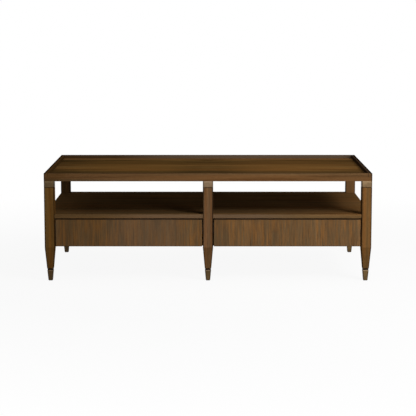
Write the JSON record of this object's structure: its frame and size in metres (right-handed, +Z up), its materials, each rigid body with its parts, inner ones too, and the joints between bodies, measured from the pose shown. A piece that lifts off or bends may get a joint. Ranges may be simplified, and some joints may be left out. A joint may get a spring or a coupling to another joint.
{
  "type": "coffee table",
  "caption": "Low rectangular table with a lipped tray top, an open shelf and wide drawers on full slides, on square tapered legs with metal collars and foot caps.",
  "frame": {"origin": "on the floor under the middle of the table", "axes": "+X along the length, to the right of someone who faces the drawers; +Y to the back; +Z up"},
  "size_m": [1.372, 0.762, 0.457],
  "materials": {
    "top_veneer": "dark, semi-gloss, lengthwise grain",
    "drawer_veneer": "dark, striped upright grain, satin",
    "frame_wood": "dark brown, satin",
    "case_wood": "dark brown, satin",
    "cleat_wood": "bare hardwood",
    "box_wood": "pale hardwood, clear satin",
    "box_bottom": "pale plywood, clear satin",
    "collar_bronze": "brushed bronze",
    "ferrule_bronze": "dark brushed bronze",
    "slide_steel": "black zinc plated",
    "cage_steel": "polished balls in plated cages",
    "zinc_steel": "zinc plated",
    "pad_plastic": "dark nylon"
  },
  "bodies": {
    "table": {"top_panel": "top_veneer", "lip_front": "frame_wood", "lip_back": "frame_wood", "lip_left": "frame_wood", "lip_right": "frame_wood", "leg_front_left": "frame_wood", "collar_front_left": "collar_bronze", "ferrule_front_left": "ferrule_bronze", "leg_front_centre": "frame_wood", "collar_front_centre": "collar_bronze", "ferrule_front_centre": "ferrule_bronze", "leg_front_right": "frame_wood", "collar_front_right": "collar_bronze", "ferrule_front_right": "ferrule_bronze", "leg_back_left": "frame_wood", "collar_back_left": "collar_bronze", "ferrule_back_left": "ferrule_bronze", "leg_back_centre": "frame_wood", "collar_back_centre": "collar_bronze", "ferrule_back_centre": "ferrule_bronze", "leg_back_right": "frame_wood", "collar_back_right": "collar_bronze", "ferrule_back_right": "ferrule_bronze", "foot_pads": "pad_plastic", "top_studs": "zinc_steel", "shelf": "case_wood", "case_side_left": "case_wood", "case_back_left": "case_wood", "case_side_right": "case_wood", "case_back_right": "case_wood", "case_divider": "case_wood", "front_rail_left": "case_wood", "front_rail_right": "case_wood", "dust_panels": "case_wood", "left_bay_cleats": "cleat_wood", "right_bay_cleats": "cleat_wood", "left_slide_outer": "slide_steel", "right_slide_outer": "slide_steel"},
    "left_drawer": {"left_drawer_front": "drawer_veneer", "left_box_front": "box_wood", "left_box_back": "box_wood", "left_box_side_left": "box_wood", "left_box_side_right": "box_wood", "left_box_bottom": "box_bottom", "left_drawer_screws": "zinc_steel", "left_slide_inner": "slide_steel"},
    "left_middle_members": {"left_slide_middle": "slide_steel"},
    "left_outer_cages": {"left_outer_ball_cages": "cage_steel"},
    "left_inner_cages": {"left_inner_ball_cages": "cage_steel"},
    "right_drawer": {"right_drawer_front": "drawer_veneer", "right_box_front": "box_wood", "right_box_back": "box_wood", "right_box_side_left": "box_wood", "right_box_side_right": "box_wood", "right_box_bottom": "box_bottom", "right_drawer_screws": "zinc_steel", "right_slide_inner": "slide_steel"},
    "right_middle_members": {"right_slide_middle": "slide_steel"},
    "right_outer_cages": {"right_outer_ball_cages": "cage_steel"},
    "right_inner_cages": {"right_inner_ball_cages": "cage_steel"}
  },
  "joints": [
    {"name": "left_drawer_slide", "type": "slide", "parent": "table", "child": "left_drawer", "axis": [0, -1, 0], "range_m": [0, 0.6]},
    {"name": "left_middle_members_slide", "type": "slide", "parent": "table", "child": "left_middle_members", "axis": [0, -1, 0], "range_m": [0, 0.3]},
    {"name": "left_outer_cages_slide", "type": "slide", "parent": "table", "child": "left_outer_cages", "axis": [0, -1, 0], "range_m": [0, 0.15]},
    {"name": "left_inner_cages_slide", "type": "slide", "parent": "table", "child": "left_inner_cages", "axis": [0, -1, 0], "range_m": [0, 0.45]},
    {"name": "right_drawer_slide", "type": "slide", "parent": "table", "child": "right_drawer", "axis": [0, -1, 0], "range_m": [0, 0.6]},
    {"name": "right_middle_members_slide", "type": "slide", "parent": "table", "child": "right_middle_members", "axis": [0, -1, 0], "range_m": [0, 0.3]},
    {"name": "right_outer_cages_slide", "type": "slide", "parent": "table", "child": "right_outer_cages", "axis": [0, -1, 0], "range_m": [0, 0.15]},
    {"name": "right_inner_cages_slide", "type": "slide", "parent": "table", "child": "right_inner_cages", "axis": [0, -1, 0], "range_m": [0, 0.45]}
  ],
  "couplings": [
    {"joint": "left_middle_members_slide", "follows": "left_drawer_slide", "ratio": 0.5},
    {"joint": "left_outer_cages_slide", "follows": "left_drawer_slide", "ratio": 0.25},
    {"joint": "left_inner_cages_slide", "follows": "left_drawer_slide", "ratio": 0.75},
    {"joint": "right_middle_members_slide", "follows": "right_drawer_slide", "ratio": 0.5},
    {"joint": "right_outer_cages_slide", "follows": "right_drawer_slide", "ratio": 0.25},
    {"joint": "right_inner_cages_slide", "follows": "right_drawer_slide", "ratio": 0.75}
  ]
}
